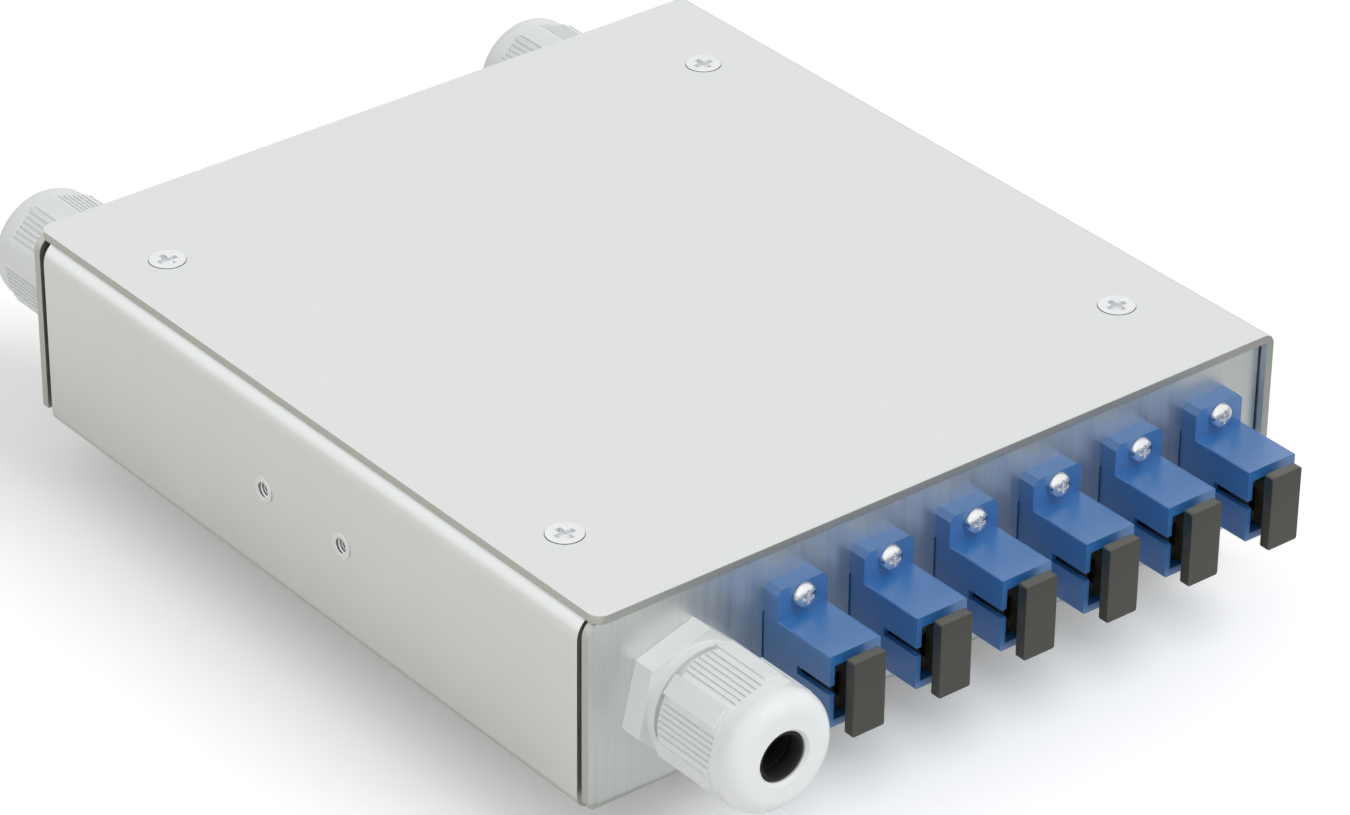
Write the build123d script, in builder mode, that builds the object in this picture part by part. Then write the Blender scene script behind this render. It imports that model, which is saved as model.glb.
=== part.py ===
from build123d import *
import os

# A slim folded-sheet box that clips on a 35 mm top-hat rail. Fibre cables come in through
# three glands, and six coupling adapters stand in its front wall.
# X runs left to right, Y front to rear and Z up. The origin is on the rail's top face.

# Sheet-metal case
cover_w = 130.0
cover_d = 142.0
case_h = 34.4
sheet = 1.5
bend_r = 2.0
top_bend_r = 4.2
plate_corner_r = 2.2
wall_corner_r = 3.0
wall_right_corner_r = 1.2
cover_overhang = 1.4
rear_wall_proud = 0.6
left_lap = 0.5
wall_slot = 1.1
cover_gap = 0.3
flange_w = 19.0
foot_gap = 0.3
relief_w = 1.6
relief_h = 2.1

# Row of adapters, glands and side inserts, above the underside of the tray
row_h = 16.3

# Cover screws and their clinch nuts
cover_screw_r = 1.75
cover_screw_head_r = 2.95
cover_screw_head_h = 1.2
cover_screw_len = 7.0
cover_screw_left_inset = 10.3
cover_screw_right_inset = 13.4
cover_screw_pitch = 100.5
screw_clearance = 0.15
thread_clearance = 0.05
clinch_nut_r = 3.6
clinch_nut_h = 3.2
recess_l = 3.4
recess_w = 1.05
recess_h = 0.9

# Threaded inserts in the left wall
insert_thread_r = 1.25
insert_body_r = 1.85
insert_collar_r = 2.15
insert_collar_h = 0.2
insert_len = 7.0
insert_pitch = 20.0

# Coupling adapters
port_count = 6
port_first_inset = 36.6
port_last_inset = 10.6
adapter_w = 9.4
adapter_body_share = 0.55
adapter_front = 15.0
adapter_rear = 12.4
adapter_flange_h = 22.2
adapter_flange_t = 3.1
adapter_chamfer = 0.9
adapter_edge_r = 0.3
port_side_wall = 0.9
port_top_wall = 1.5
port_drop = 0.3
port_depth = 12.4
port_web = 2.0
key_w = 1.4
key_len = 7.3
cutout_clearance = 0.2
adapter_screw_inset = 2.1

# Adapter screws and nuts
small_screw_r = 1.0
small_head_r = 2.0
small_head_h = 1.4
small_head_flat_r = 0.9
small_head_mid_r = 1.72
small_head_mid_h = 1.0
small_head_rim_h = 0.35
small_screw_len = 8.0
small_hole_r = 1.2
small_nut_af = 4.0
small_nut_h = 1.6
small_recess_l = 2.2
small_recess_w = 0.45
small_recess_h = 0.6

# Alignment sleeves and the latches that hold a plug
sleeve_r = 1.6
sleeve_bore_r = 1.25
sleeve_len = 11.4
sleeve_slit = 0.4
holder_r = 2.4
holder_len = 13.0
latch_arm_w = 2.2
latch_arm_t = 0.7
latch_arm_len = 7.0
latch_arm_inset = 1.1
seat_clearance = 0.05

# Dust caps
cap_w = 6.0
cap_h = 12.7
cap_t = 1.8
cap_gap = 1.5
cap_drop = 0.4
cap_edge_r = 0.4
neck_w = 3.4
neck_h = 8.0
plug_clearance = 0.15
plug_len = 3.4
plug_setback = 1.6
plug_tube_r = 3.2
plug_bore_r = 2.7
plug_tube_len = 7.4

# Cable glands
gland_front_inset = 16.4
gland_rear_left_inset = 16.0
gland_rear_right_inset = 15.2
gland_af = 18.9
gland_flange_t = 3.9
gland_turn = 17.0
gland_thread_r = 6.2
gland_thread_len = 10.0
gland_hole_clearance = 0.15
gland_bore_r = 4.2
neck_r = 8.0
gland_neck_len = 13.5
gland_collar_r = 8.9
gland_collar_len = 1.6
nut_gap = 2.9
nut_len = 17.0
nut_flat_apothem = 9.6
nut_corner_apothem = 10.05
nut_wall = 1.6
nut_bore_clearance = 0.3
nut_dome_r = 3.0
nut_hole_r = 4.1
nut_lead_in = 0.5
nut_turned_r = 10.15
nut_shoulder_r = 9.8
rib_count = 5
rib_pitch = 0.95
rib_groove_w = 0.45
rib_groove_t = 0.22
rib_len = 12.0
nut_grip_len = 12.2
seal_r = 5.6
seal_bore_r = 3.3
seal_len = 9.0
seal_proud = 2.8
locknut_af = 19.0
locknut_t = 4.0

# Splice holder, fibre clips and cable posts on the floor
comb_w = 56.0
comb_d = 25.0
comb_base_h = 1.2
comb_h = 7.0
comb_slots = 4
comb_corner_r = 1.5
comb_row_w = 12.0
comb_slot_w = 3.2
comb_pitch = 5.4
comb_y = 33.0
clip_ring_r = 5.0
clip_ring_t = 1.4
clip_ring_w = 6.0
clip_ring_lift = 0.4
clip_mouth = 3.0
clip_pad_h = 1.2
clip_spots = [(-46.0, 30.0), (-46.0, -22.0), (44.0, 30.0), (44.0, -22.0)]
post_r = 3.0
post_h = 9.0
post_washer_r = 4.5
post_washer_t = 1.0
post_inset = 24.0

# Rail clip under the floor
rail_w = 35.0
rail_t = 1.0
clip_h = 5.0
clip_w = 44.0
clip_front = 34.0
clip_side_clearance = 0.2
hook_t = 3.6
hook_drop = 3.4
hook_lip = 2.0
hook_play = 0.3
slide_w = 13.6
slide_t = 3.0
slide_floor = 1.5
slide_play = 0.2
slide_tongue = 1.2
slide_tongue_t = 1.4
slide_tongue_z = 2.6
slide_rear_y = 8.0
slide_pull = 8.0
slide_travel = 3.0
pull_slot_w = 6.0
pull_slot_l = 3.0
window_w = 4.4
window_front_y = -15.0
window_rear_y = 4.0
post_d = 3.0
spring_r = 1.15
spring_wire_r = 0.22
spring_turns = 6
clip_screw_x = 16.0
clip_screw_ys = (-26.0, 12.0)
clip_screw_r = 1.5
clip_screw_head_r = 2.75
clip_screw_head_h = 1.7
clip_screw_key_r = 1.4
clip_screw_key_h = 0.85
clip_screw_out = 0.5
clip_nut_af = 5.5
clip_nut_h = 2.4
clip_corner_r = 2.0
cheek_foot_w = 12.0

# Sizes that follow from those above
tray_left = -cover_w / 2 - left_lap
tray_right = cover_w / 2 - sheet - cover_gap
tray_front = -cover_d / 2 + cover_overhang
tray_rear = cover_d / 2 + rear_wall_proud
tray_w = tray_right - tray_left
side_front = tray_front + sheet + wall_slot
side_rear = tray_rear - sheet - wall_slot
side_wall_d = side_rear - side_front
side_mid_y = (side_front + side_rear) / 2
floor_under = clip_h
floor_top = floor_under + sheet
cover_top = clip_h + case_h
cover_under = cover_top - sheet
mid_bend_r = bend_r - sheet / 2
mid_top_bend_r = top_bend_r - sheet / 2
wall_split_z = floor_under + case_h / 2
row_z = floor_under + row_h
port_first_x = tray_left + port_first_inset
port_pitch = (tray_right - port_last_inset - port_first_x) / (port_count - 1)
port_xs = [port_first_x + port_pitch * i for i in range(port_count)]
gland_front_x = tray_left + gland_front_inset
gland_rear_left_x = tray_left + gland_rear_left_inset
gland_rear_right_x = tray_right - gland_rear_right_inset
screw_xs = (-cover_w / 2 + cover_screw_left_inset, cover_w / 2 - cover_screw_right_inset)
screw_spots = [(x, y) for x in screw_xs for y in (-cover_screw_pitch / 2, cover_screw_pitch / 2)]
adapter_h = adapter_flange_h * adapter_body_share
adapter_screw_pitch = adapter_flange_h - 2 * adapter_screw_inset
port_w = adapter_w - 2 * port_side_wall
port_h = adapter_h - 2 * port_top_wall
plug_w = port_w - 2 * plug_clearance
plug_h = port_h - 2 * plug_clearance
latch_arm_y = port_h / 2 - latch_arm_inset
adapter_screw_spots = [(x, s * adapter_screw_pitch / 2) for x in port_xs for s in (-1, 1)]
neck_bore_r = seal_r + seat_clearance
cap_face_y = adapter_front + cap_gap
plug_start_y = adapter_front - plug_setback
clip_rear = rail_w / 2 + clip_side_clearance + hook_t
clip_screw_spots = [(s * clip_screw_x, y) for s in (-1, 1) for y in clip_screw_ys]
slide_under = slide_floor + slide_play
slide_hook_y = -rail_w / 2 - clip_side_clearance
cheek_foot_y = slide_hook_y - hook_t / 2
window_play = slide_travel + slide_play
spring_front_y = window_front_y + window_play + post_d + spring_wire_r + seat_clearance
spring_len = window_rear_y - spring_front_y - spring_wire_r - seat_clearance
spring_z = slide_under + slide_t / 2
clip_screw_len = floor_top + clip_nut_h - clip_screw_head_h + clip_screw_out
comb_row_x = (comb_w - comb_row_w) / 2
nut_bore_r = neck_r + nut_bore_clearance
nut_cavity_len = nut_len - nut_wall - nut_lead_in - (nut_bore_r - nut_hole_r) / 2
groove_offsets = [rib_pitch * (i - rib_count / 2) for i in range(rib_count + 1)]
post_y = tray_rear - post_inset
post_spots = [
    (gland_front_x, tray_front + post_inset),
    (gland_rear_left_x, post_y),
    (gland_rear_right_x, post_y),
]

os.makedirs("parts", exist_ok=True)


def write(builder, name):
    """Labels a finished piece and writes it."""
    builder.part.label = name
    export_step(builder.part, f"parts/{name}.step")


def strip_face(points, middle_r):
    """Adds the section of a folded strip whose middle line runs through the points."""
    with BuildLine() as middle:
        FilletPolyline(*points, radius=middle_r)
    trace(middle.line, line_width=sheet)


def cross_recess(length, width, plane, depth):
    """Cuts a cross recess that runs into a screw head from its plane."""
    with BuildSketch(plane) as cross:
        Rectangle(length, width)
        Rectangle(width, length)
    extrude(cross.sketch, amount=-depth, mode=Mode.SUBTRACT)


def front_plane(y):
    """Gives the upright plane at a place along Y, whose normal points to the front."""
    return Plane.XZ.offset(-y)


# Tray: floor, left and right walls with their top flanges, front and rear walls
with BuildPart() as base_tray:
    with BuildSketch(Plane.YZ.offset(tray_left)):
        strip_face([
            (tray_front + sheet / 2, cover_under),
            (tray_front + sheet / 2, floor_under + sheet / 2),
            (tray_rear - sheet / 2, floor_under + sheet / 2),
            (tray_rear - sheet / 2, cover_under),
        ], mid_bend_r)
    extrude(amount=tray_w)
    wall_tops = base_tray.edges().filter_by(Axis.Y).group_by(Axis.Z)[-1].group_by(Axis.X)
    fillet(wall_tops[0], radius=wall_corner_r)
    fillet(wall_tops[-1], radius=wall_right_corner_r)
    with BuildSketch(Plane.XY.offset(floor_under)):
        with Locations((tray_left, side_mid_y), (tray_right, side_mid_y)):
            Rectangle(2 * bend_r, side_wall_d)
    extrude(amount=sheet, mode=Mode.SUBTRACT)
    with BuildSketch(front_plane(side_rear)):
        strip_face([
            (tray_left + sheet / 2, wall_split_z),
            (tray_left + sheet / 2, floor_under + sheet / 2),
            (tray_right - sheet / 2, floor_under + sheet / 2),
            (tray_right - sheet / 2, wall_split_z),
        ], mid_bend_r)
        strip_face([
            (tray_left + flange_w, cover_under - sheet / 2),
            (tray_left + sheet / 2, cover_under - sheet / 2),
            (tray_left + sheet / 2, wall_split_z),
        ], mid_top_bend_r)
        strip_face([
            (tray_right - flange_w, cover_under - sheet / 2),
            (tray_right - sheet / 2, cover_under - sheet / 2),
            (tray_right - sheet / 2, wall_split_z),
        ], mid_top_bend_r)
    extrude(amount=side_wall_d)
    # Bend reliefs at the four lower corners
    with BuildSketch(Plane.XY.offset(floor_under)):
        with Locations(*[(x, y) for x in (tray_left, tray_right) for y in (tray_front, tray_rear)]):
            Rectangle(2 * relief_w, 2 * (sheet + wall_slot))
    extrude(amount=relief_h, mode=Mode.SUBTRACT)
    # Front wall: adapter cut-outs, adapter screw holes and a gland hole
    with BuildSketch(front_plane(tray_front)):
        with Locations(*[(x, row_z) for x in port_xs]):
            Rectangle(adapter_w + 2 * cutout_clearance, adapter_h + 2 * cutout_clearance)
        with Locations(*[(x, row_z + z) for x, z in adapter_screw_spots]):
            Circle(small_hole_r)
        with Locations((gland_front_x, row_z)):
            Circle(gland_thread_r + gland_hole_clearance)
    extrude(amount=-sheet, mode=Mode.SUBTRACT)
    # Rear wall: two gland holes
    with BuildSketch(front_plane(tray_rear)):
        with Locations((gland_rear_left_x, row_z), (gland_rear_right_x, row_z)):
            Circle(gland_thread_r + gland_hole_clearance)
    extrude(amount=sheet, mode=Mode.SUBTRACT)
    # Left wall: holes of the threaded inserts
    with BuildSketch(Plane.YZ.offset(tray_left)):
        with Locations((-insert_pitch / 2, row_z), (insert_pitch / 2, row_z)):
            Circle(insert_body_r + seat_clearance)
    extrude(amount=sheet, mode=Mode.SUBTRACT)
    # Top flanges: holes of the cover screws
    with BuildSketch(Plane.XY.offset(cover_under)):
        with Locations(*screw_spots):
            Circle(cover_screw_r + screw_clearance)
    extrude(amount=-sheet, mode=Mode.SUBTRACT)
    # Floor: holes of the rail clip's screws
    with BuildSketch(Plane.XY.offset(floor_under)):
        with Locations(*clip_screw_spots):
            Circle(clip_screw_r + screw_clearance)
    extrude(amount=sheet, mode=Mode.SUBTRACT)
write(base_tray, "base_tray")

# Cover: top plate and the right-hand wall, folded from one sheet
with BuildPart() as top_cover:
    with BuildSketch(Plane.XZ):
        strip_face([
            (-cover_w / 2, cover_top - sheet / 2),
            (cover_w / 2 - sheet / 2, cover_top - sheet / 2),
            (cover_w / 2 - sheet / 2, floor_under + foot_gap),
        ], mid_bend_r)
    extrude(amount=cover_d / 2, both=True)
    fillet(top_cover.edges().filter_by(Axis.Z).group_by(Axis.X)[0], radius=plate_corner_r)
    fillet(top_cover.edges().filter_by(Axis.X).group_by(Axis.Z)[0], radius=plate_corner_r)
    with Locations(*[(x, y, cover_top) for x, y in screw_spots]):
        CounterSinkHole(
            radius=cover_screw_r + screw_clearance,
            counter_sink_radius=cover_screw_head_r + screw_clearance,
            depth=sheet,
            counter_sink_angle=90,
        )
write(top_cover, "top_cover")

# Countersunk cover screws
with BuildPart() as cover_screw:
    with BuildSketch(Plane.XZ):
        with BuildLine():
            Polyline(
                (0, 0),
                (cover_screw_head_r, 0),
                (cover_screw_r, -cover_screw_head_h),
                (cover_screw_r, -cover_screw_len),
                (0, -cover_screw_len),
                close=True,
            )
        make_face()
    revolve(axis=Axis.Z)
    cross_recess(recess_l, recess_w, Plane.XY, recess_h)
with BuildPart() as cover_screws:
    with Locations(*[(x, y, cover_top) for x, y in screw_spots]):
        add(cover_screw.part)
write(cover_screws, "cover_screws")

# Clinch nuts under the tray's top flanges
with BuildPart() as cover_nuts:
    with BuildSketch(Plane.XY.offset(cover_under - sheet)):
        with Locations(*screw_spots):
            Circle(clinch_nut_r)
            Circle(cover_screw_r + thread_clearance, mode=Mode.SUBTRACT)
    extrude(amount=-clinch_nut_h)
write(cover_nuts, "cover_nuts")

# Threaded inserts pressed in the left wall
with BuildPart() as side_inserts:
    with BuildSketch(Plane.YZ.offset(tray_left)):
        with Locations((-insert_pitch / 2, row_z), (insert_pitch / 2, row_z)):
            Circle(insert_body_r)
    extrude(amount=insert_len)
    with BuildSketch(Plane.YZ.offset(tray_left)):
        with Locations((-insert_pitch / 2, row_z), (insert_pitch / 2, row_z)):
            Circle(insert_collar_r)
    extrude(amount=-insert_collar_h)
    with BuildSketch(Plane.YZ.offset(tray_left - insert_collar_h)):
        with Locations((-insert_pitch / 2, row_z), (insert_pitch / 2, row_z)):
            Circle(insert_thread_r)
    extrude(amount=insert_len + insert_collar_h, mode=Mode.SUBTRACT)
write(side_inserts, "side_inserts")

# Adapter housing, about the point where its axis meets the outside of the front wall
with BuildPart() as housing:
    with BuildSketch(front_plane(adapter_rear)):
        Rectangle(adapter_w, adapter_h)
    extrude(amount=adapter_front + adapter_rear)
    fillet(housing.edges().filter_by(Axis.Y), radius=adapter_edge_r)
    with BuildSketch(front_plane(0)):
        flange_outline = Rectangle(adapter_w, adapter_flange_h)
        chamfer(flange_outline.vertices(), length=adapter_chamfer)
    extrude(amount=adapter_flange_t)
    with BuildSketch(front_plane(-adapter_front)):
        with Locations((0, -port_drop)):
            Rectangle(port_w, port_h)
    extrude(amount=-port_depth, mode=Mode.SUBTRACT)
    with BuildSketch(front_plane(adapter_rear)):
        with Locations((0, -port_drop)):
            Rectangle(port_w, port_h)
    extrude(amount=adapter_front + adapter_rear - port_depth - port_web, mode=Mode.SUBTRACT)
    with BuildSketch(front_plane(-adapter_front)):
        with Locations((0, -port_drop)):
            Circle(holder_r + seat_clearance)
    extrude(amount=-(port_depth + port_web), mode=Mode.SUBTRACT)
    with BuildSketch(front_plane(-adapter_front)):
        with Locations((-adapter_w / 2, port_drop)):
            Rectangle(adapter_w - port_w + 2 * cutout_clearance, key_w)
    extrude(amount=-key_len, mode=Mode.SUBTRACT)
    with BuildSketch(front_plane(0)):
        with Locations((0, adapter_screw_pitch / 2), (0, -adapter_screw_pitch / 2)):
            Circle(small_hole_r)
    extrude(amount=adapter_flange_t, mode=Mode.SUBTRACT)
for number, port_x in enumerate(port_xs, start=1):
    with BuildPart() as adapter_housing:
        with Locations((port_x, tray_front, row_z)):
            add(housing.part)
    write(adapter_housing, f"adapter_housing_{number}")

# Sleeve holder with its four plug latches, about the middle of the adapter's web
web_y = -adapter_front + port_depth + port_web / 2
with BuildPart() as latch_frame:
    with BuildSketch(front_plane(holder_len / 2)):
        Circle(holder_r)
    extrude(amount=holder_len)
    with BuildSketch(front_plane(-port_web / 2)):
        Rectangle(port_w - 2 * seat_clearance, port_h - 2 * seat_clearance)
    extrude(amount=latch_arm_t)
    with BuildSketch(front_plane(-port_web / 2)):
        with Locations((0, latch_arm_y + latch_arm_t / 2), (0, -latch_arm_y - latch_arm_t / 2)):
            Rectangle(latch_arm_w, latch_arm_t)
    extrude(amount=latch_arm_len)
    with BuildSketch(front_plane(holder_len / 2)):
        Circle(sleeve_r + seat_clearance)
    extrude(amount=holder_len, mode=Mode.SUBTRACT)
with BuildPart() as adapter_latches:
    with Locations(*[(x, tray_front + web_y, row_z - port_drop) for x in port_xs]):
        add(latch_frame.part)
write(adapter_latches, "adapter_latches")

# Split alignment sleeves
with BuildPart() as sleeve:
    with BuildSketch(front_plane(sleeve_len / 2)):
        Circle(sleeve_r)
        Circle(sleeve_bore_r, mode=Mode.SUBTRACT)
        with Locations((0, sleeve_r)):
            Rectangle(sleeve_slit, sleeve_r, mode=Mode.SUBTRACT)
    extrude(amount=sleeve_len)
with BuildPart() as alignment_sleeves:
    with Locations(*[(x, tray_front + web_y, row_z - port_drop) for x in port_xs]):
        add(sleeve.part)
write(alignment_sleeves, "alignment_sleeves")

# Pan-head screws that hold the adapters
with BuildPart() as small_screw:
    with BuildSketch(Plane.XY):
        with BuildLine():
            Polyline(
                (0, -small_head_h),
                (small_head_flat_r, -small_head_h),
                (small_head_mid_r, -small_head_mid_h),
                (small_head_r, -small_head_rim_h),
                (small_head_r, 0),
                (small_screw_r, 0),
                (small_screw_r, small_screw_len),
                (0, small_screw_len),
                close=True,
            )
        make_face()
    revolve(axis=Axis.Y)
    cross_recess(small_recess_l, small_recess_w, front_plane(-small_head_h), small_recess_h)
screw_face_y = tray_front - adapter_flange_t
with BuildPart() as adapter_screws:
    with Locations(*[(x, screw_face_y, row_z + z) for x, z in adapter_screw_spots]):
        add(small_screw.part)
write(adapter_screws, "adapter_screws")

with BuildPart() as adapter_nuts:
    with BuildSketch(front_plane(tray_front + sheet)):
        with Locations(*[(x, row_z + z) for x, z in adapter_screw_spots]):
            RegularPolygon(small_nut_af / 2, 6, major_radius=False)
            Circle(small_screw_r + thread_clearance, mode=Mode.SUBTRACT)
    extrude(amount=-small_nut_h)
write(adapter_nuts, "adapter_nuts")

# Dust cap: finger plate, neck and a hollow plug that stands in the port
with BuildPart() as dust_cap:
    with BuildSketch(front_plane(-cap_face_y)):
        with Locations((0, -cap_drop)):
            Rectangle(cap_w, cap_h)
    extrude(amount=cap_t)
    fillet(dust_cap.edges().filter_by(Axis.Y), radius=cap_edge_r)
    with BuildSketch(front_plane(-cap_face_y)):
        with Locations((0, -port_drop)):
            Rectangle(neck_w, neck_h)
    extrude(amount=-(cap_face_y - plug_start_y))
    with BuildSketch(front_plane(-plug_start_y)):
        with Locations((0, -port_drop)):
            Rectangle(plug_w, plug_h)
    extrude(amount=-plug_len)
    with BuildSketch(front_plane(-plug_start_y)):
        with Locations((0, -port_drop)):
            Circle(plug_tube_r)
    extrude(amount=-plug_tube_len)
    with BuildSketch(front_plane(plug_tube_len - plug_start_y)):
        with Locations((0, -port_drop)):
            Circle(plug_bore_r)
    extrude(amount=plug_tube_len, mode=Mode.SUBTRACT)
for number, port_x in enumerate(port_xs, start=1):
    with BuildPart() as front_cap:
        with Locations((port_x, tray_front, row_z)):
            add(dust_cap.part)
    write(front_cap, f"dust_cap_{number}")

# Inner dust caps, the same piece turned round, in the adapters' rear ports
inner_cap_y = tray_front - adapter_front + adapter_rear
with BuildPart() as inner_caps:
    with Locations(*[(x, inner_cap_y, row_z) for x in port_xs]):
        add(dust_cap.part, rotation=(0, 0, 180))
write(inner_caps, "inner_caps")

# Gland body, about the point where its axis meets the outside of the wall
with BuildPart() as gland:
    with BuildSketch(front_plane(0)):
        RegularPolygon(gland_af / 2, 6, major_radius=False, rotation=gland_turn)
    extrude(amount=gland_flange_t)
    with BuildSketch(front_plane(0)):
        Circle(neck_r)
    extrude(amount=gland_flange_t + gland_neck_len)
    with BuildSketch(front_plane(0)):
        Circle(gland_collar_r)
    extrude(amount=gland_flange_t + gland_collar_len)
    with BuildSketch(front_plane(0)):
        Circle(gland_thread_r)
    extrude(amount=-gland_thread_len)
    with BuildSketch(front_plane(gland_thread_len)):
        Circle(gland_bore_r)
    extrude(amount=gland_thread_len + gland_flange_t + gland_neck_len, mode=Mode.SUBTRACT)
    with BuildSketch(front_plane(-(gland_flange_t + gland_neck_len))):
        Circle(neck_bore_r)
    extrude(amount=-seal_len, mode=Mode.SUBTRACT)

# Dome nut: six ribbed flats with plain corners between them, and a turned nose
with BuildPart() as dome_nut:
    with BuildSketch(front_plane(0)):
        RegularPolygon(nut_flat_apothem, 6, major_radius=False, rotation=gland_turn)
        RegularPolygon(
            nut_corner_apothem,
            6,
            major_radius=False,
            rotation=gland_turn + 30,
            mode=Mode.INTERSECT,
        )
        Circle(nut_turned_r, mode=Mode.INTERSECT)
    extrude(amount=nut_grip_len)
    with BuildSketch(front_plane(0)):
        for side in range(6):
            angle = gland_turn + 30 + 60 * side
            with Locations(Location((0, 0), angle)):
                with Locations(*[(nut_flat_apothem, y) for y in groove_offsets]):
                    Rectangle(2 * rib_groove_t, rib_groove_w)
    extrude(amount=rib_len, mode=Mode.SUBTRACT)
    with BuildSketch(Plane.XY) as nose_profile:
        with BuildLine():
            Polyline(
                (0, -nut_grip_len),
                (nut_shoulder_r, -nut_grip_len),
                (nut_shoulder_r, -nut_len),
                (0, -nut_len),
                close=True,
            )
        make_face()
        nose = nose_profile.vertices().group_by(Axis.Y)[0].sort_by(Axis.X)[-1]
        fillet(nose, radius=nut_dome_r)
    revolve(axis=Axis.Y)
    with BuildSketch(Plane.XY):
        with BuildLine():
            Polyline(
                (0, 0),
                (nut_bore_r, 0),
                (nut_bore_r, -nut_cavity_len),
                (nut_hole_r, -nut_len + nut_wall + nut_lead_in),
                (nut_hole_r, -nut_len + nut_lead_in),
                (nut_hole_r + nut_lead_in, -nut_len),
                (0, -nut_len),
                close=True,
            )
        make_face()
    revolve(axis=Axis.Y, mode=Mode.SUBTRACT)

# Rubber seal in the mouth of the gland body, proud of it by what the nut squeezes
with BuildPart() as seal:
    with BuildSketch(front_plane(-gland_flange_t - gland_neck_len + seal_len)):
        Circle(seal_r)
        Circle(seal_bore_r, mode=Mode.SUBTRACT)
    extrude(amount=seal_len + seal_proud)

# Locknut on the gland's thread, against the inside of the wall
with BuildPart() as locknut:
    with BuildSketch(front_plane(sheet)):
        RegularPolygon(locknut_af / 2, 6, major_radius=False)
        Circle(gland_thread_r + thread_clearance, mode=Mode.SUBTRACT)
    extrude(amount=-locknut_t)

glands = (
    ("front", gland_front_x, tray_front, 0),
    ("rear_left", gland_rear_left_x, tray_rear, 180),
    ("rear_right", gland_rear_right_x, tray_rear, 180),
)
for name, gland_x, wall_y, turn in glands:
    with BuildPart() as gland_body:
        with Locations((gland_x, wall_y, row_z)):
            add(gland.part, rotation=(0, 0, turn))
    write(gland_body, f"gland_body_{name}")
    outward = 1 if turn else -1
    with BuildPart() as gland_nut:
        with Locations((gland_x, wall_y + outward * (gland_flange_t + nut_gap), row_z)):
            add(dome_nut.part, rotation=(0, 0, turn))
    write(gland_nut, f"gland_nut_{name}")
with BuildPart() as gland_seals:
    for name, gland_x, wall_y, turn in glands:
        with Locations((gland_x, wall_y, row_z)):
            add(seal.part, rotation=(0, 0, turn))
write(gland_seals, "gland_seals")
with BuildPart() as gland_locknuts:
    for name, gland_x, wall_y, turn in glands:
        with Locations((gland_x, wall_y, row_z)):
            add(locknut.part, rotation=(0, 0, turn))
write(gland_locknuts, "gland_locknuts")

# Splice holder: a comb whose slots take one splice protector each
with BuildPart() as splice_comb:
    with BuildSketch(Plane.XY.offset(floor_top)):
        with Locations((0, comb_y)):
            RectangleRounded(comb_w, comb_d, comb_corner_r)
    extrude(amount=comb_base_h)
    with BuildSketch(Plane.XY.offset(floor_top + comb_base_h)):
        for end in (-1, 1):
            with Locations((end * comb_row_x, comb_y)):
                Rectangle(comb_row_w, comb_d - 2 * comb_corner_r)
    extrude(amount=comb_h - comb_base_h)
    with BuildSketch(Plane.XY.offset(floor_top + comb_h)):
        with Locations(*[(0, comb_y + comb_pitch * (i - (comb_slots - 1) / 2))
                         for i in range(comb_slots)]):
            Rectangle(comb_w, comb_slot_w)
    extrude(amount=comb_base_h - comb_h, mode=Mode.SUBTRACT)
write(splice_comb, "splice_comb")

# Fibre clips: open rings on pads that are glued to the floor
with BuildPart() as fibre_clip:
    with BuildSketch(Plane.XY.offset(floor_top)):
        Rectangle(2 * clip_ring_r, 2 * clip_ring_r)
    extrude(amount=clip_pad_h)
    with BuildSketch(front_plane(-clip_ring_w / 2)):
        with Locations((0, floor_top + clip_ring_lift + clip_ring_r)):
            Circle(clip_ring_r)
            Circle(clip_ring_r - clip_ring_t, mode=Mode.SUBTRACT)
        with Locations((0, floor_top + clip_ring_lift + 2 * clip_ring_r)):
            Rectangle(clip_mouth, clip_ring_r, mode=Mode.SUBTRACT)
    extrude(amount=-clip_ring_w)
with BuildPart() as fibre_clips:
    with Locations(*[(x, y, 0) for x, y in clip_spots]):
        add(fibre_clip.part)
write(fibre_clips, "fibre_clips")

# Posts that clamp the strength member of each cable, inboard of the glands
with BuildPart() as cable_posts:
    with Locations(*[(x, y, floor_top) for x, y in post_spots]):
        Cylinder(post_r, post_h, align=(Align.CENTER, Align.CENTER, Align.MIN))
    with Locations(*[(x, y, floor_top + post_h) for x, y in post_spots]):
        Cylinder(post_washer_r, post_washer_t, align=(Align.CENTER, Align.CENTER, Align.MIN))
write(cable_posts, "cable_posts")

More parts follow.
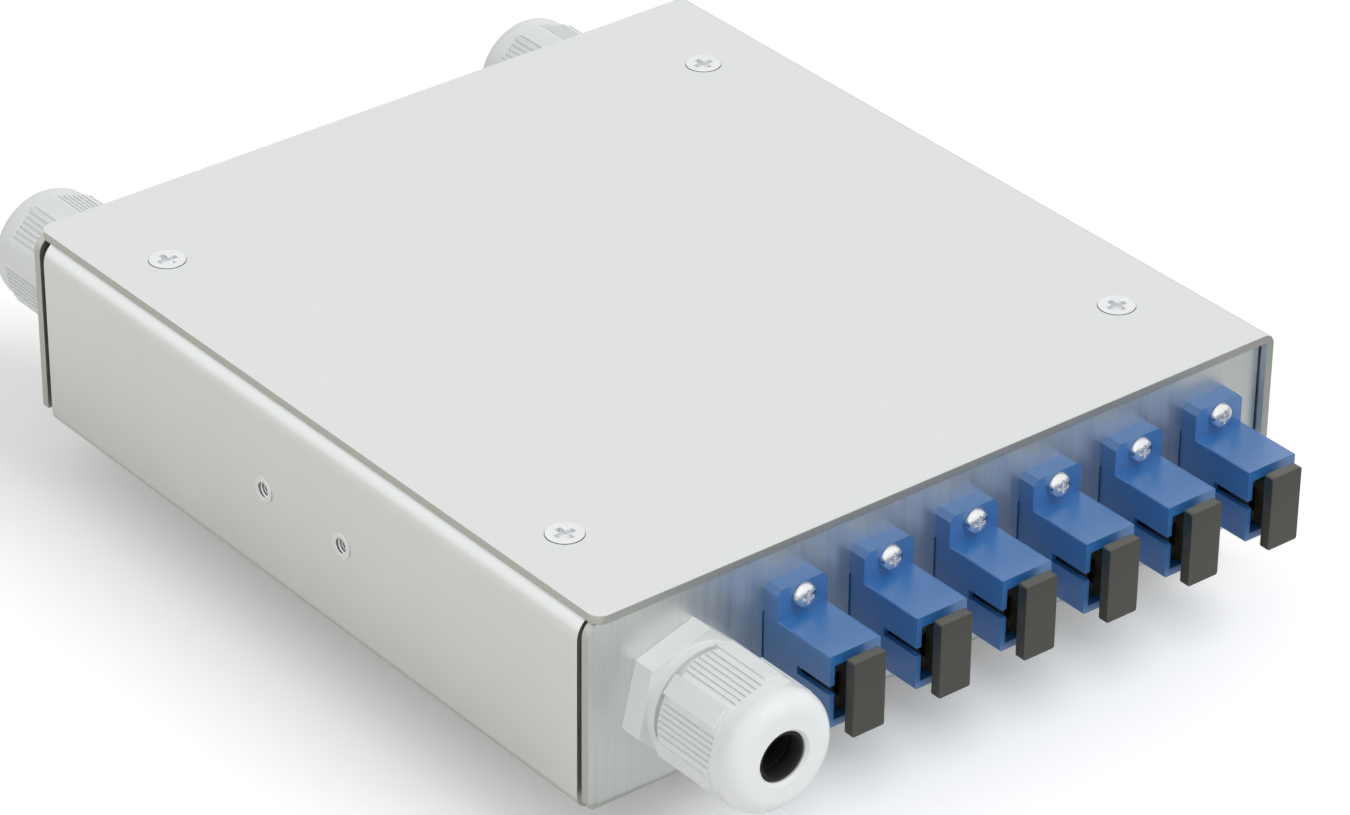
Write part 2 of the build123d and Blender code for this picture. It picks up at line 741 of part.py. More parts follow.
# Rail clip: moulded block with the fixed hook behind and the latch's channel in front
with BuildPart() as rail_clip:
    with BuildSketch(Plane.XY):
        with Locations((0, (clip_rear - clip_front) / 2)):
            RectangleRounded(clip_w, clip_rear + clip_front, clip_corner_r)
    extrude(amount=clip_h)
    with BuildSketch(Plane.YZ.offset(-clip_w / 2 + clip_corner_r)):
        with BuildLine():
            Polyline(
                (clip_rear - hook_t, 0),
                (clip_rear - hook_t, -rail_t - hook_play),
                (clip_rear - hook_t - hook_lip, -rail_t - hook_play),
                (clip_rear - hook_t, -hook_drop),
                (clip_rear, -hook_drop),
                (clip_rear, 0),
                close=True,
            )
        make_face()
    extrude(amount=clip_w - 2 * clip_corner_r)
    with BuildSketch(Plane.XY):
        with Locations(*[(s * (clip_w / 2 - cheek_foot_w / 2), cheek_foot_y) for s in (-1, 1)]):
            Rectangle(cheek_foot_w, hook_t)
    extrude(amount=-hook_drop)
    with BuildSketch(Plane.XY.offset(slide_floor)):
        with Locations((0, (slide_rear_y + slide_play - clip_front) / 2)):
            Rectangle(slide_w + 2 * slide_play, slide_rear_y + slide_play + clip_front)
    extrude(amount=clip_h, mode=Mode.SUBTRACT)
    with BuildSketch(Plane.XY):
        with Locations((0, (slide_hook_y - clip_front) / 2)):
            Rectangle(slide_w + 2 * slide_play, clip_front + slide_hook_y)
    extrude(amount=clip_h, mode=Mode.SUBTRACT)
    with BuildSketch(Plane.XY.offset(slide_tongue_z - slide_play)):
        with Locations((0, (slide_rear_y + slide_play - clip_front) / 2)):
            Rectangle(slide_w + 2 * slide_tongue + 2 * slide_play,
                      slide_rear_y + slide_play + clip_front)
    extrude(amount=slide_tongue_t + 2 * slide_play, mode=Mode.SUBTRACT)
    with BuildSketch(Plane.XY.offset(slide_floor)):
        with Locations((0, window_front_y + window_play + post_d / 2)):
            Rectangle(window_w - 2 * slide_play, post_d)
    extrude(amount=clip_h - slide_floor)
    with Locations(*[(x, y, 0) for x, y in clip_screw_spots]):
        Hole(clip_screw_r + screw_clearance)
    with BuildSketch(Plane.XY):
        with Locations(*clip_screw_spots):
            Circle(clip_screw_head_r + screw_clearance)
    extrude(amount=clip_screw_head_h, mode=Mode.SUBTRACT)
write(rail_clip, "rail_clip")

# Rail latch: the sliding half of the clip, with its ramped hook and a slot to pull it by
with BuildPart() as rail_latch:
    with BuildSketch(Plane.XY.offset(slide_under)):
        with Locations((0, (slide_rear_y - clip_front - slide_pull) / 2)):
            Rectangle(slide_w, slide_rear_y + clip_front + slide_pull)
    extrude(amount=slide_t)
    with BuildSketch(Plane.XY.offset(slide_tongue_z)):
        with Locations((0, (slide_rear_y - clip_front) / 2)):
            Rectangle(slide_w + 2 * slide_tongue, slide_rear_y + clip_front)
    extrude(amount=slide_tongue_t)
    with BuildSketch(Plane.YZ.offset(-slide_w / 2)):
        with BuildLine():
            Polyline(
                (slide_hook_y, slide_under),
                (slide_hook_y, -rail_t - hook_play),
                (slide_hook_y + hook_lip, -rail_t - hook_play),
                (slide_hook_y, -hook_drop),
                (slide_hook_y - hook_t, -hook_drop),
                (slide_hook_y - hook_t, slide_under),
                close=True,
            )
        make_face()
    extrude(amount=slide_w)
    with BuildSketch(Plane.XY.offset(slide_under)):
        with Locations((0, (window_front_y + window_rear_y) / 2)):
            Rectangle(window_w, window_rear_y - window_front_y)
        with Locations((0, -clip_front - slide_pull / 2)):
            Rectangle(pull_slot_w, pull_slot_l)
    extrude(amount=slide_t, mode=Mode.SUBTRACT)
write(rail_latch, "rail_latch")

# Coil spring between the block's post and the rear end of the latch's window
with BuildPart() as latch_spring:
    with BuildLine() as coil:
        Helix(
            pitch=spring_len / spring_turns,
            height=spring_len,
            radius=spring_r - spring_wire_r,
            center=(0, spring_front_y, spring_z),
            direction=(0, 1, 0),
        )
    with BuildSketch(Plane(coil.line @ 0, z_dir=coil.line % 0)):
        Circle(spring_wire_r)
    sweep(path=coil.line)
write(latch_spring, "latch_spring")

# Screws that hold the rail clip under the floor, driven from below into the tray
with BuildPart() as clip_screws:
    with Locations(*[(x, y, clip_screw_head_h) for x, y in clip_screw_spots]):
        Cylinder(clip_screw_head_r, clip_screw_head_h, align=(Align.CENTER, Align.CENTER, Align.MAX))
        Cylinder(clip_screw_r, clip_screw_len, align=(Align.CENTER, Align.CENTER, Align.MIN))
    with BuildSketch(Plane.XY):
        with Locations(*clip_screw_spots):
            RegularPolygon(clip_screw_key_r, 6)
    extrude(amount=clip_screw_key_h, mode=Mode.SUBTRACT)
write(clip_screws, "clip_screws")

# Nuts of the rail clip's screws, on the floor
with BuildPart() as clip_nuts:
    with BuildSketch(Plane.XY.offset(floor_top)):
        with Locations(*clip_screw_spots):
            RegularPolygon(clip_nut_af / 2, 6, major_radius=False)
            Circle(clip_screw_r + thread_clearance, mode=Mode.SUBTRACT)
    extrude(amount=clip_nut_h)
write(clip_nuts, "clip_nuts")
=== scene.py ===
import math

import bpy
from bpy.props import FloatProperty, FloatVectorProperty, PointerProperty
from mathutils import Matrix, Vector


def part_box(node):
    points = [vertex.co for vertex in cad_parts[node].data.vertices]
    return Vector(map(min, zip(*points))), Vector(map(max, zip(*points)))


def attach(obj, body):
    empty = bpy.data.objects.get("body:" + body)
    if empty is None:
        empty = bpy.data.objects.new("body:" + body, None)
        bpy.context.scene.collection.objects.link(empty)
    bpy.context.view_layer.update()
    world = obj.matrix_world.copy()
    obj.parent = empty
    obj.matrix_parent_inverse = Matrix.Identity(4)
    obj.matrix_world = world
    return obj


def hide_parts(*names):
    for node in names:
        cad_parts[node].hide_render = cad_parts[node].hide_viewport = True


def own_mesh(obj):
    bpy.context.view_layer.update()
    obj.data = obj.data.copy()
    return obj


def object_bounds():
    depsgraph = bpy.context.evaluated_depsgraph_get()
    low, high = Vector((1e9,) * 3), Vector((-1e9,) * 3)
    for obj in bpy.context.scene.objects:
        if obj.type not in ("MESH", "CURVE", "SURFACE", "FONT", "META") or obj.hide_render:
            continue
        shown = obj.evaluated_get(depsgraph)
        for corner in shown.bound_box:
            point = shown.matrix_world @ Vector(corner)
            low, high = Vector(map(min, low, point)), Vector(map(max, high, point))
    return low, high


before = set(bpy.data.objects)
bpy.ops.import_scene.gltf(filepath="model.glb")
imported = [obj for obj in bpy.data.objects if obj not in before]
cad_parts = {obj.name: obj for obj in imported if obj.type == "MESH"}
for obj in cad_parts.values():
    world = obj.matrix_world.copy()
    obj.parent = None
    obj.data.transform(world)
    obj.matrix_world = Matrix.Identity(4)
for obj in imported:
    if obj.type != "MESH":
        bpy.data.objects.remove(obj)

bl_info = {
    "name": "Rail-Mounted Fibre Box",
    "version": (1, 0, 0),
    "blender": (4, 5, 0),
    "location": "3D View > Sidebar > Fibre Box",
    "description": "Dresses a rail-mounted fibre box: case, couplers, cable glands, rail clip",
    "category": "Add Mesh",
}

MM = 0.001
CAD_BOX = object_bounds()

PORTS = range(1, 7)
GLANDS = ("front", "rear_left", "rear_right")

# The case's folded sheet
SHEET = 1.5 * MM
COVER_BEND = 2.1 * MM  # how far the cover's bend reaches on both of its faces
SIDE_GAP = 2.6 * MM  # from the tray's ends to the ends of its side walls
LEEWAY = 0.05 * MM  # how far a face may lie from the place where it is looked for

# The photograph's viewpoint: the camera's place in metres, and where its right side, its top
# and its back point
CAMERA_PLACE = (-0.475929, -0.597071, 0.474275)
CAMERA_RIGHT = (0.789962, -0.613155, -0.000041)
CAMERA_TOP = (0.334065, 0.430339, 0.838575)
CAMERA_BACK = (-0.514159, -0.662457, 0.544786)
CAMERA_SHIFT = (0.06863, 0.15175)
SENSOR_WIDTH = 36.0
CLOSEST_SEEN = 0.01

# The lamps, which point at the origin: name, place and size in metres, power as a share of the
# key lamp's, and whether glossy faces mirror it
LAMPS = (
    ("Key lamp", (0.55, -0.95, 1.35), 1.1, 1.0, False),
    ("Fill lamp", (-1.3, -0.5, 0.9), 1.2, 0.2, False),
    ("Glint lamp", (0.1, -1.1, 1.2), 0.22, 0.05, True),
)


# Shader maths

class Wire:
    """One output of a shader's nodes. Arithmetic on it adds Math nodes."""

    def __init__(self, shading, socket):
        self.shading = shading
        self.socket = socket

    def math(self, operation, *values):
        return self.shading.node("ShaderNodeMath", dict(enumerate(values)), operation=operation)

    def __add__(self, other):
        return self.math("ADD", self, other)

    def __sub__(self, other):
        return self.math("SUBTRACT", self, other)

    def __rsub__(self, other):
        return self.math("SUBTRACT", other, self)

    def __mul__(self, other):
        return self.math("MULTIPLY", self, other)

    def __or__(self, other):
        return self.math("MAXIMUM", self, other)

    __radd__ = __add__
    __rmul__ = __mul__
    __ror__ = __or__


class Shading:
    """A shader and the nodes that feed it."""

    def __init__(self, tree, shader):
        self.tree = tree
        self.shader = tree.nodes[shader]

    def give(self, socket, value):
        """Gives a socket a value or a wire."""
        if isinstance(value, Wire):
            self.tree.links.new(value.socket, socket)
        else:
            socket.default_value = value

    def feed(self, socket, value):
        """Gives one of the shader's sockets a value or a wire."""
        self.give(self.shader.inputs[socket], value)

    def node(self, kind, inputs=None, output=0, **settings):
        """Adds a node with its settings, feeds its sockets and returns one of its outputs."""
        made = self.tree.nodes.new(kind)
        for key, value in settings.items():
            setattr(made, key, value)
        for key, value in (inputs or {}).items():
            self.give(made.inputs[key], value)
        return Wire(self, made.outputs[output])

    def along(self, axis, coordinates="Object"):
        """How far a point lies along an axis, or with Normal how much its face points there."""
        return self.node("ShaderNodeSeparateXYZ", {
            "Vector": self.node("ShaderNodeTexCoord", output=coordinates),
        }, output=axis)

    def place(self, scale=(1, 1, 1), turn=(0, 0, 0)):
        """The piece's own coordinates, stretched and turned by degrees."""
        return self.node("ShaderNodeMapping", {
            "Vector": self.node("ShaderNodeTexCoord", output="Object"),
            "Scale": scale,
            "Rotation": [math.radians(angle) for angle in turn],
        })

    def noise(self, vector, scale, detail=3.0, roughness=0.5):
        """Grey noise between 0 and 1."""
        return self.node("ShaderNodeTexNoise", {
            "Vector": vector, "Scale": scale, "Detail": detail, "Roughness": roughness,
        })

    def stretch(self, value, low, high, to_low=0.0, to_high=1.0):
        """Takes the span from low to high to another span, and clamps there."""
        return self.node("ShaderNodeMapRange", {
            "Value": value, "From Min": low, "From Max": high,
            "To Min": to_low, "To Max": to_high,
        })

    def tint(self, amount, first, second):
        """A colour between two others, which may be wires."""
        first, second = (
            colour if isinstance(colour, Wire) else (*colour, 1.0) for colour in (first, second)
        )
        return self.node("ShaderNodeMix", {0: amount, 6: first, 7: second}, output=2,
                         data_type="RGBA")


class Finish(Shading):
    """A material in the making, with one Principled shader."""

    def __init__(self, name, **constants):
        self.material = bpy.data.materials.new(name)
        self.material.use_nodes = True
        super().__init__(self.material.node_tree, "Principled BSDF")
        for socket, value in constants.items():
            self.feed(socket.replace("_", " ").title(), value)

    def bump(self, height, strength, depth):
        """Feeds the shader's normal with a height map whose full depth is in metres."""
        self.feed("Normal", self.node("ShaderNodeBump", {
            "Height": height, "Strength": strength, "Distance": depth,
        }))


def shade(colour, factor):
    """A colour made darker or lighter by a factor."""
    return tuple(min(1.0, part * factor) for part in colour)


# Finishes

def satin_steel(name, colour, grain):
    """Rolled stainless sheet, brushed upright on the end walls and with faint fine scratches."""
    finish = Finish(name, metallic=1.0)
    facing = finish.along("Y", "Normal")
    brushed = finish.stretch(facing * facing, 0.6, 0.95, to_low=0.12)
    lines = finish.noise(finish.place((1, 1, 0.02)), 1900 * grain, detail=4.0, roughness=0.6)
    streaks = (finish.stretch(lines, 0.32, 0.68) - 0.5) * brushed
    cloud = finish.noise(finish.place((1, 1, 0.3)), 60.0, detail=2.0)
    hairs = finish.noise(finish.place((1, 0.03, 1), turn=(0, 0, 32)), 900 * grain, detail=2.0)
    strokes = finish.noise(
        finish.place((1, 0.06, 0.3), turn=(24, 0, 0)), 800 * grain, detail=2.0)
    scratches = finish.stretch(hairs, 0.68, 0.80) * 0.4 + finish.stretch(strokes, 0.66, 0.76)
    patches = finish.stretch(cloud, 0.3, 0.7, to_low=0.44, to_high=0.56)
    tone = patches + streaks * 0.6 + scratches * 0.25
    finish.feed("Base Color", finish.tint(tone, shade(colour, 0.94), shade(colour, 1.05)))
    finish.feed("Roughness", 0.38 + streaks * 0.08 + scratches * 0.04)
    finish.bump(streaks + scratches * 0.3, strength=0.35, depth=0.02 * MM)
    return finish.material


def cut_steel(name, colour):
    """The sheet's sheared edge, duller and streaked across its thickness."""
    finish = Finish(name, metallic=1.0)
    streaks = finish.noise(finish.place((1, 1, 0.1)), 1800.0)
    finish.feed("Base Color", finish.tint(streaks, shade(colour, 0.9), shade(colour, 1.1)))
    finish.feed("Roughness", 0.42 + streaks * 0.14)
    finish.bump(streaks, strength=0.4, depth=0.03 * MM)
    return finish.material


def bright_zinc(name, colour):
    """Plated steel: bright, with a faint cloudiness from the bath."""
    finish = Finish(name, metallic=1.0)
    cloud = finish.noise(finish.place(), 700.0, detail=4.0, roughness=0.6)
    finish.feed("Base Color", finish.tint(cloud, shade(colour, 0.86), shade(colour, 1.08)))
    finish.feed("Roughness", 0.14 + cloud * 0.16)
    finish.bump(cloud, strength=0.25, depth=0.04 * MM)
    return finish.material


def moulded(name, colour, gloss=0.5, texture=0.01 * MM, coat=0.0, coat_ior=1.5,
            coat_roughness=0.2):
    """Injection-moulded plastic: fine spark-eroded skin, a trace of flow colour."""
    finish = Finish(name, metallic=0.0)
    skin = finish.noise(finish.place(), 3800.0, detail=2.0)
    flow = finish.noise(finish.place((1, 0.4, 1)), 120.0, detail=2.0)
    finish.feed("Base Color", finish.tint(flow, shade(colour, 0.95), shade(colour, 1.05)))
    finish.feed("Roughness", (1 - gloss) * 0.9 + skin * 0.1)
    finish.feed("Coat Weight", coat)
    finish.feed("Coat Roughness", coat_roughness)
    finish.feed("Coat IOR", coat_ior)
    finish.bump(skin, strength=0.3, depth=texture)
    return finish.material


def drawn_metal(name, colour, roughness):
    """Bronze strip or spring wire, with fine draw lines along Y."""
    finish = Finish(name, metallic=1.0)
    lines = finish.noise(finish.place((1, 0.05, 1)), 2500.0)
    finish.feed("Base Color", finish.tint(lines, shade(colour, 0.9), shade(colour, 1.08)))
    finish.feed("Roughness", roughness + lines * 0.1)
    finish.bump(lines, strength=0.3, depth=0.01 * MM)
    return finish.material


# Mesh work

def choose(thing):
    """Leaves one object selected and active."""
    bpy.ops.object.select_all(action="DESELECT")
    thing.select_set(True)
    bpy.context.view_layer.objects.active = thing


def settle(thing):
    """Puts an object's place into its mesh."""
    choose(thing)
    bpy.ops.object.transform_apply(location=True, rotation=True, scale=True)


def on_axis(low, high, y):
    """The spot at y on the line along Y through the middle of a box."""
    return Vector(((low.x + high.x) / 2, y, (low.z + high.z) / 2))


def traced(node, name, weld=0.002 * MM, flat_within=0.6):
    """A closed copy of a CAD node's mesh, with its flat faces whole again."""
    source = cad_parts[node]
    copy = bpy.data.objects.new(name, source.data.copy())
    bpy.context.scene.collection.objects.link(copy)
    copy.data.materials.clear()
    choose(copy)
    if copy.data.has_custom_normals:
        bpy.ops.mesh.customdata_custom_splitnormals_clear()
    bpy.ops.object.mode_set(mode="EDIT")
    bpy.ops.mesh.select_all(action="SELECT")
    bpy.ops.mesh.remove_doubles(threshold=weld)
    bpy.ops.mesh.dissolve_limited(angle_limit=math.radians(flat_within))
    bpy.ops.object.mode_set(mode="OBJECT")
    return copy


def round_edges(piece, width, sharper_than=32, segments=2):
    """Breaks the edges of a piece that are sharper than an angle in degrees."""
    choose(piece)
    bevel = piece.modifiers.new("Broken edges", "BEVEL")
    bevel.width = width
    bevel.segments = segments
    bevel.limit_method = "ANGLE"
    bevel.angle_limit = math.radians(sharper_than)
    bevel.miter_outer = "MITER_ARC"
    bpy.ops.object.modifier_apply(modifier=bevel.name)
    bpy.ops.object.shade_smooth()
    even = piece.modifiers.new("Even shading", "WEIGHTED_NORMAL")
    even.weight = 60
    even.keep_sharp = True
    bpy.ops.object.modifier_apply(modifier=even.name)


def combine(piece, tool, operation):
    """Cuts or joins a piece with another object, which is used up."""
    choose(piece)
    mix = piece.modifiers.new("Combined", "BOOLEAN")
    mix.operation = operation
    mix.object = tool
    bpy.ops.object.modifier_apply(modifier=mix.name)
    bpy.data.objects.remove(tool)


def stand_in(piece, node, body):
    """Lets a finished piece stand for its CAD node."""
    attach(piece, body)
    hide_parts(node)


def dressed(node, name, body, finish, edge):
    """Traces a CAD node, rounds its edges and dresses it."""
    piece = traced(node, name)
    piece.data.materials.append(finish)
    round_edges(piece, edge)
    stand_in(piece, node, body)


def paint_rims(piece, sheets, ends):
    """Gives the sheared edges of a folded piece its second finish.

    Such a face stands square to a sheet, well within its thickness, or closes the piece at one
    of its ends along Y. Each sheet is given as the axis that its thickness lies along, where it
    starts there, and a test for the places that belong to it.
    """
    skin, aside, straight_on = 0.2 * MM, 0.1, 0.99
    for face in piece.data.polygons:
        middle = face.center
        within = any(
            abs(face.normal[axis]) < aside and skin < middle[axis] - start < SHEET - skin
            and there(middle)
            for axis, start, there in sheets
        )
        closing = abs(face.normal.y) > straight_on
        if within or closing and any(abs(middle.y - end) < LEEWAY for end in ends):
            face.material_index = 1


def repaint(node, finish):
    """Gives a CAD node that stays as it is its finish."""
    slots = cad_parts[node].data.materials
    slots.clear()
    slots.append(finish)


# Settings

def colour_property(name, description, default):
    """A setting that holds a colour."""
    return FloatVectorProperty(
        name=name, description=description, subtype="COLOR", size=3, min=0.0, max=1.0,
        default=default,
    )


class FibreBoxMetals(bpy.types.PropertyGroup):
    """Colours and finish of the sheet, the fasteners and the other metal parts"""

    sheet_colour: colour_property(
        "Sheet", "Colour of the rolled face of the case's sheet", (0.765, 0.787, 0.780))
    edge_colour: colour_property(
        "Sheared edge", "Colour of the sheet's cut edges", (0.53, 0.53, 0.505))
    zinc_colour: colour_property(
        "Zinc", "Colour of the plated screws, nuts and inserts", (0.86, 0.87, 0.88))
    bronze_colour: colour_property(
        "Bronze", "Colour of the couplers' alignment sleeves", (0.62, 0.38, 0.18))
    spring_colour: colour_property(
        "Spring", "Colour of the rail latch's spring", (0.60, 0.60, 0.62))
    grain: FloatProperty(
        name="Grain", description="How fine the sheet's brushing and scratches are", default=1.0,
        min=0.2, max=5.0)
    edge_break: FloatProperty(
        name="Edge break", description="Radius of the case's deburred edges", default=0.16 * MM,
        min=0.02 * MM, max=0.4 * MM, subtype="DISTANCE")


class FibreBoxPlastics(bpy.types.PropertyGroup):
    """Colours of the mouldings, and the radius of their edges"""

    adapter_colour: colour_property(
        "Coupler", "Colour of the coupler housings", (0.021, 0.140, 0.400))
    plug_latch_colour: colour_property(
        "Plug latches", "Colour of the latches inside the couplers", (0.80, 0.80, 0.78))
    cap_colour: colour_property("Dust cap", "Colour of the dust caps", (0.018, 0.0175, 0.0085))
    gland_colour: colour_property("Gland", "Colour of the cable glands", (0.755, 0.78, 0.775))
    seal_colour: colour_property("Seal", "Colour of the glands' rubber", (0.010, 0.010, 0.010))
    inside_colour: colour_property(
        "Inner fittings", "Colour of the splice comb and fibre clips", (0.80, 0.80, 0.78))
    clip_colour: colour_property("Rail clip", "Colour of the rail clip", (0.030, 0.030, 0.032))
    latch_colour: colour_property("Rail latch", "Colour of the rail latch", (0.22, 0.23, 0.24))
    mould_radius: FloatProperty(
        name="Mould radius", description="Radius of moulded edges", default=0.22 * MM,
        min=0.02 * MM, max=0.5 * MM, subtype="DISTANCE")


class FibreBoxStage(bpy.types.PropertyGroup):
    """The floor's colours with its painted reflections, the light and the camera's lens"""

    floor_colour: colour_property("Floor", "Colour of the floor", (0.97, 0.97, 0.97))
    # Painted reflection: the floor as the metal mirrors it, darker and warmer than the floor
    # itself
    floor_painted_reflection: colour_property(
        "Painted floor reflection", "Colour of the floor where the metal mirrors it", (0.86, 0.855, 0.80))
    # Painted shade: a darker floor that only the couplers' wall mirrors
    floor_painted_shade_ahead: colour_property(
        "Painted shade ahead", "Colour of the floor that the couplers' wall mirrors", (0.66, 0.68, 0.67))
    floor_lift: FloatProperty(
        name="Floor lift", description="Light added to the floor where the camera sees it",
        default=0.16, min=0.0, max=1.0)
    sky: FloatProperty(
        name="Sky", description="Strength of the surrounding light", default=0.55, min=0.0,
        max=2.0)
    key_power: FloatProperty(
        name="Key lamp", description="Power of the soft key lamp", default=14.0, min=0.0,
        subtype="POWER")
    focal_length: FloatProperty(
        name="Focal length", description="Focal length of the camera, in millimetres",
        default=152.25, min=10.0, subtype="DISTANCE_CAMERA")


# Operators

class FIBREBOX_OT_stage(bpy.types.Operator):
    """Adds the pale floor, the soft light and the camera"""

    bl_idname = "fibrebox.stage"
    bl_label = "Stage"

    def execute(self, context):
        look = context.scene.fibre_box_stage
        self.add_floor(look)
        context.scene.world = self.studio(look)
        self.add_lamps(look)
        context.scene.camera = self.add_camera(look)
        context.scene.view_settings.view_transform = "Standard"
        return {"FINISHED"}

    def add_floor(self, look):
        """Adds the floor, and its painted reflection in the metal, which depends on the place."""
        low = CAD_BOX[0]
        bpy.ops.mesh.primitive_plane_add(size=6.0, location=(0, 0, low.z))
        floor = bpy.context.object
        floor.name = "floor"
        settle(floor)

        # Spans in metres over which the painted reflection of the floor changes: along Y to the
        # painted shade ahead of the couplers' wall and to its dimmer end, and along X from the
        # part left of the case
        to_ahead, to_dimmer = (-0.05, -0.10), (-0.115, -0.135)
        from_left = (low.x - 0.02, low.x + 0.01)
        # How much darker the painted shade gets at its dimmer end
        dimmer = 0.6

        finish = Finish("Pale floor", roughness=0.9)
        finish.feed("Specular IOR Level", 0.0)
        y = finish.along("Y")
        # Painted shade in the reflections: a mask for the floor ahead of the couplers' wall,
        # right of the case's left end
        ahead = finish.stretch(y, *to_ahead) * finish.stretch(finish.along("X"), *from_left)
        level = finish.stretch(y, *to_dimmer, to_low=1.0, to_high=dimmer)
        floor_painted_shade_ahead = finish.tint(level, (0, 0, 0), look.floor_painted_shade_ahead)
        mirrored = finish.tint(ahead, look.floor_painted_reflection, floor_painted_shade_ahead)
        # Only glossy rays see the painted reflection colours; camera and diffuse rays see the
        # floor colour
        glossy = finish.node("ShaderNodeLightPath", output="Is Glossy Ray")
        finish.feed("Base Color", finish.tint(glossy, look.floor_colour, mirrored))
        seen = finish.node("ShaderNodeLightPath", output="Is Camera Ray")
        finish.feed("Emission Color", finish.tint(seen, (0, 0, 0), (look.floor_lift,) * 3))
        finish.feed("Emission Strength", 1.0)
        floor.data.materials.append(finish.material)

    def studio(self, look):
        """Makes the world: white where it is seen or mirrored, and dimmer as a light."""
        world = bpy.data.worlds.new("Studio")
        world.use_nodes = True
        air = Shading(world.node_tree, "Background")
        camera, glossy, clear = (
            air.node("ShaderNodeLightPath", output=ray)
            for ray in ("Is Camera Ray", "Is Glossy Ray", "Is Transmission Ray")
        )
        to_left, left_white = (0.1, -0.4), 1.12
        white = air.stretch(air.along("X", "Generated"), *to_left, to_low=1.0, to_high=left_white)
        seen = camera | glossy | clear
        air.feed("Strength", air.stretch(seen, 0.0, 1.0, to_low=look.sky, to_high=white))
        air.feed("Color", (1.0, 1.0, 1.0, 1.0))
        return world

    def add_lamps(self, look):
        """Adds the round soft lamps."""
        for name, spot, size, share, mirrored in LAMPS:
            bpy.ops.object.light_add(type="AREA", location=spot)
            lamp = bpy.context.object
            lamp.name = name
            lamp.data.energy = look.key_power * share
            lamp.data.shape = "DISK"
            lamp.data.size = size
            lamp.visible_glossy = mirrored
            lamp.rotation_euler = (-Vector(spot)).to_track_quat("-Z", "Y").to_euler()

    def add_camera(self, look):
        """Adds the camera at the photograph's viewpoint."""
        bpy.ops.object.camera_add(location=CAMERA_PLACE)
        camera = bpy.context.object
        axes = Matrix((CAMERA_RIGHT, CAMERA_TOP, CAMERA_BACK))
        camera.rotation_euler = axes.transposed().to_euler()
        camera.data.lens = look.focal_length
        camera.data.sensor_width = SENSOR_WIDTH
        camera.data.shift_x, camera.data.shift_y = CAMERA_SHIFT
        camera.data.clip_start = CLOSEST_SEEN
        return camera


class FIBREBOX_OT_case(bpy.types.Operator):
    """Dresses the folded tray and its cover"""

    bl_idname = "fibrebox.case"
    bl_label = "Case"

    def execute(self, context):
        metals = context.scene.fibre_box_metals
        finishes = (
            satin_steel("Satin steel", metals.sheet_colour, metals.grain),
            cut_steel("Cut steel edge", metals.edge_colour),
        )

        low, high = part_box("base_tray")
        ends = (low.y + SIDE_GAP, high.y - SIDE_GAP)

        def between(spot):
            return ends[0] - LEEWAY < spot.y < ends[1] + LEEWAY

        def anywhere(spot):
            return True

        self.sheet_piece("base_tray", "tray", finishes, (
            (0, low.x, between), (0, high.x - SHEET, between),
            (1, low.y, anywhere), (1, high.y - SHEET, anywhere),
            (2, low.z, anywhere), (2, high.z - SHEET, between),
        ), ends, metals.edge_break)

        low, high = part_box("top_cover")
        self.sheet_piece("top_cover", "cover", finishes, (
            (2, high.z - SHEET, lambda spot: spot.x < high.x - COVER_BEND),
            (0, high.x - SHEET, lambda spot: spot.z < high.z - COVER_BEND),
        ), (low.y, high.y), metals.edge_break)
        return {"FINISHED"}

    def sheet_piece(self, node, name, finishes, sheets, ends, edge):
        """Dresses a folded piece, with its sheared edges apart from its rolled faces."""
        piece = traced(node, name)
        for finish in finishes:
            piece.data.materials.append(finish)
        paint_rims(piece, sheets, ends)
        round_edges(piece, edge)
        stand_in(piece, node, "case")


class FIBREBOX_OT_fasteners(bpy.types.Operator):
    """Dresses the screws, nuts and threaded inserts"""

    bl_idname = "fibrebox.fasteners"
    bl_label = "Fasteners"

    def execute(self, context):
        zinc = bright_zinc("Bright zinc", context.scene.fibre_box_metals.zinc_colour)
        dressed("cover_screws", "cover_screw_set", "case", zinc, edge=0.12 * MM)
        dressed("adapter_screws", "adapter_screw_set", "case", zinc, edge=0.08 * MM)
        dressed("side_inserts", "side_insert_set", "case", zinc, edge=0.08 * MM)
        for node in ("cover_nuts", "adapter_nuts", "clip_screws", "clip_nuts", "cable_posts"):
            repaint(node, zinc)
        self.threads(zinc)
        return {"FINISHED"}

    def threads(self, finish):
        """Turns a thread in each side insert's bore."""
        spacing, bore_radius, sunk = 20 * MM, 1.25 * MM, 0.3 * MM
        pitch, depth, facets = 0.5 * MM, 5.5 * MM, 28
        ridge_radius, ridge_in = 0.26 * MM, 0.04 * MM
        low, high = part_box("side_inserts")
        for number, y in enumerate((-spacing / 2, spacing / 2), start=1):
            bpy.ops.mesh.primitive_circle_add(
                vertices=3, radius=ridge_radius, fill_type="NOTHING",
                location=(0, 0, bore_radius - ridge_in), rotation=(math.radians(-90), 0, 0),
            )
            thread = bpy.context.object
            thread.name = f"insert_thread_{number}"
            settle(thread)
            turn = thread.modifiers.new("Thread", "SCREW")
            turn.axis = "X"
            turn.screw_offset = pitch
            turn.iterations = int(depth / pitch)
            turn.steps = turn.render_steps = facets
            bpy.ops.object.modifier_apply(modifier=turn.name)
            thread.location = (low.x + sunk, y, (low.z + high.z) / 2)
            settle(thread)
            bpy.ops.object.mode_set(mode="EDIT")
            bpy.ops.mesh.select_all(action="SELECT")
            bpy.ops.mesh.normals_make_consistent(inside=False)
            bpy.ops.object.mode_set(mode="OBJECT")
            thread.data.materials.append(finish)
            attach(thread, "case")


